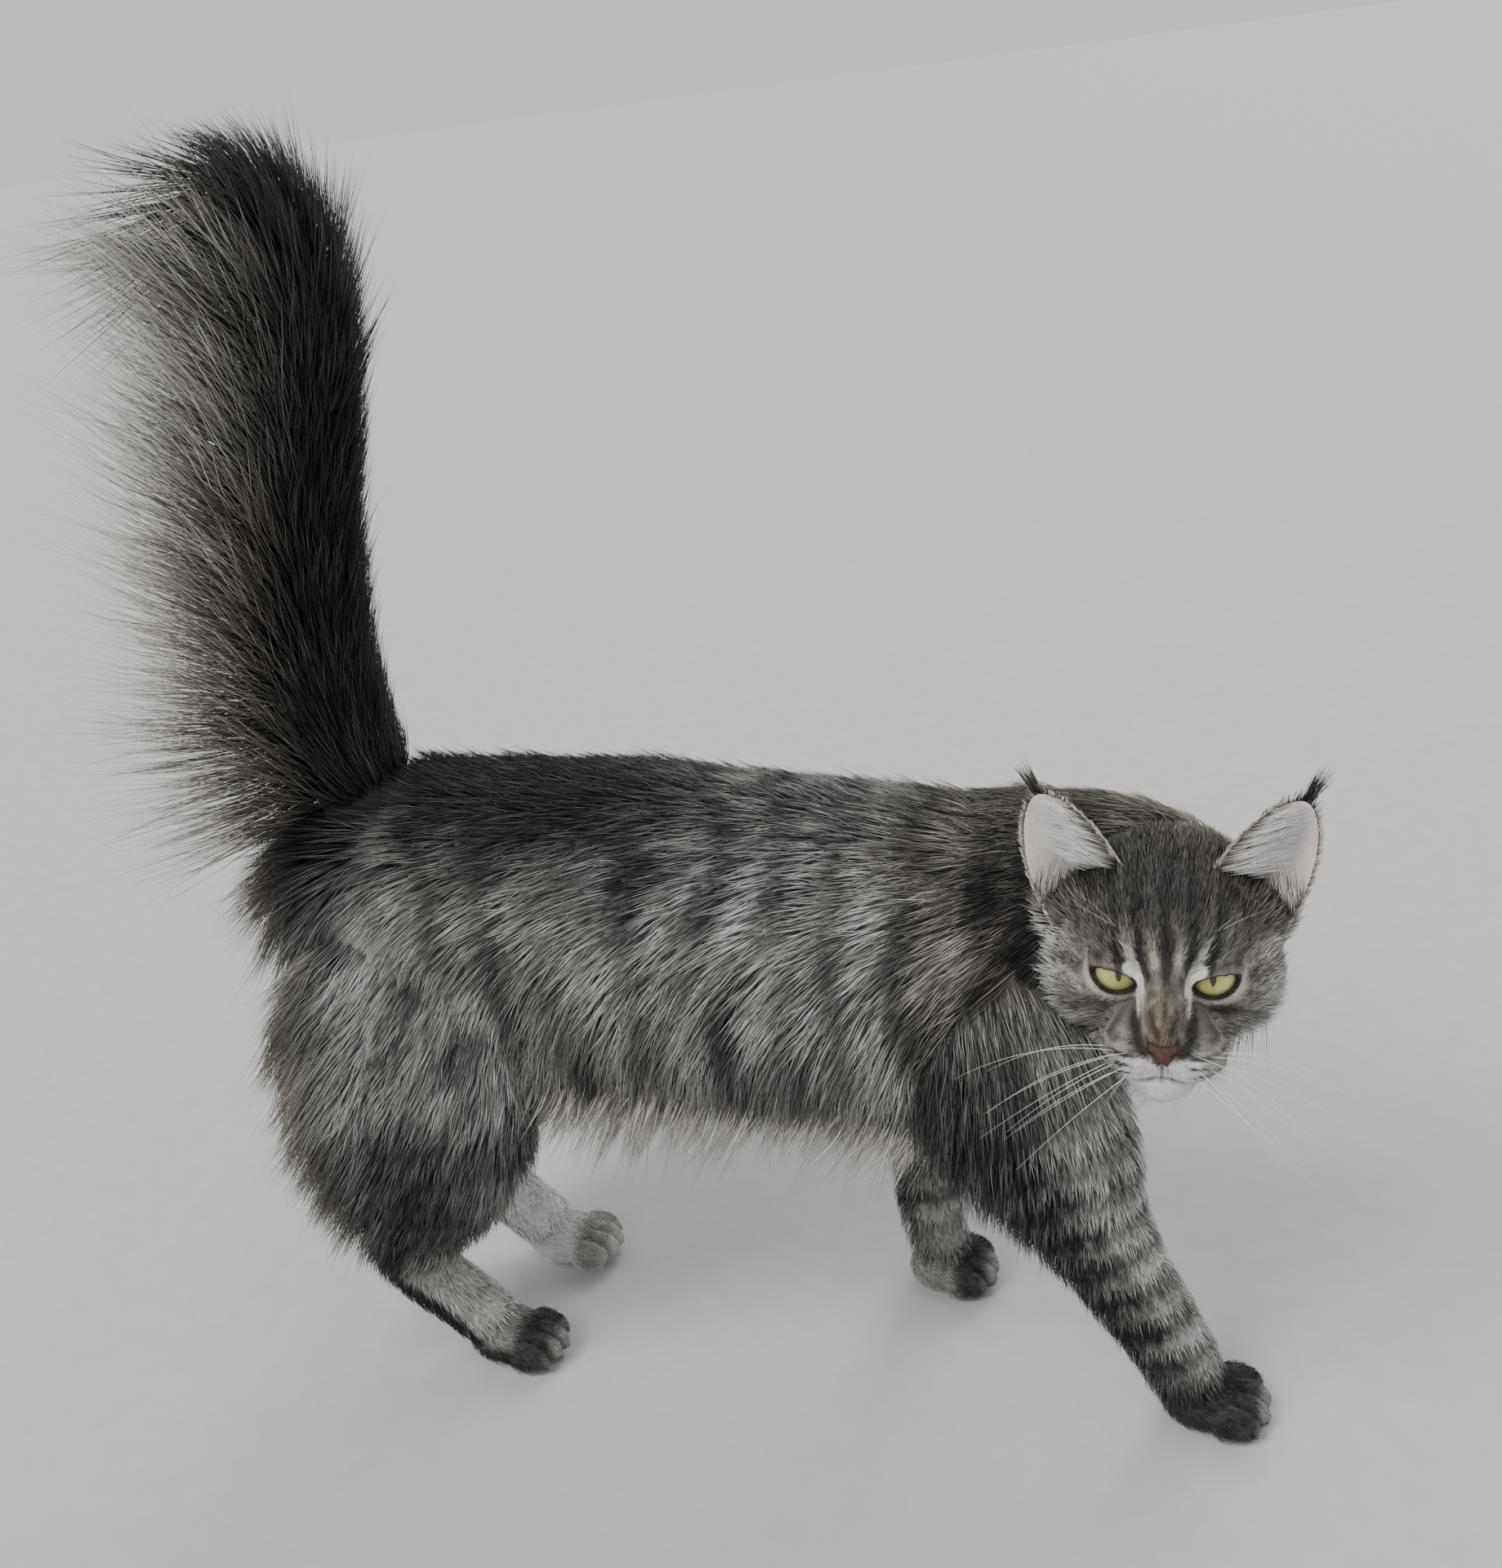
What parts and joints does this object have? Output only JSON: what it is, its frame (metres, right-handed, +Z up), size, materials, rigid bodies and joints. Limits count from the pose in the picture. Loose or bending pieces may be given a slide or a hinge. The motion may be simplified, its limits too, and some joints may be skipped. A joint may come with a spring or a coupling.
{
  "type": "maine coon cat",
  "caption": "Long-haired tabby cat in mid stride with a tall plumed tail, tufted ears and its head turned to one side, as a still life-size model.",
  "frame": {"origin": "on the floor, under the middle of the cat's bounding box", "axes": "+X the way the cat walks, +Y to its left, +Z up"},
  "size_m": [0.5926, 0.2126, 0.6812],
  "materials": {
    "coat": "long soft fur, brushed back",
    "dark_coat": "dark fur",
    "ear": "thin skin with short fur",
    "eye": "wet gloss"
  },
  "bodies": {
    "root": {"eye_right": "eye", "eye_left": "eye", "head": "coat", "ear_right": "ear", "ear_left": "ear", "neck": "coat", "torso": "coat", "thigh_right": "coat", "thigh_left": "coat", "foreleg_right": "coat", "foreleg_left": "coat", "shank_right": "coat", "shank_left": "coat", "forepaw_right": "dark_coat", "forepaw_left": "dark_coat", "hindpaw_right": "dark_coat", "hindpaw_left": "dark_coat", "tail_base": "dark_coat", "tail_middle": "dark_coat", "tail_tip": "dark_coat"}
  },
  "joints": []
}
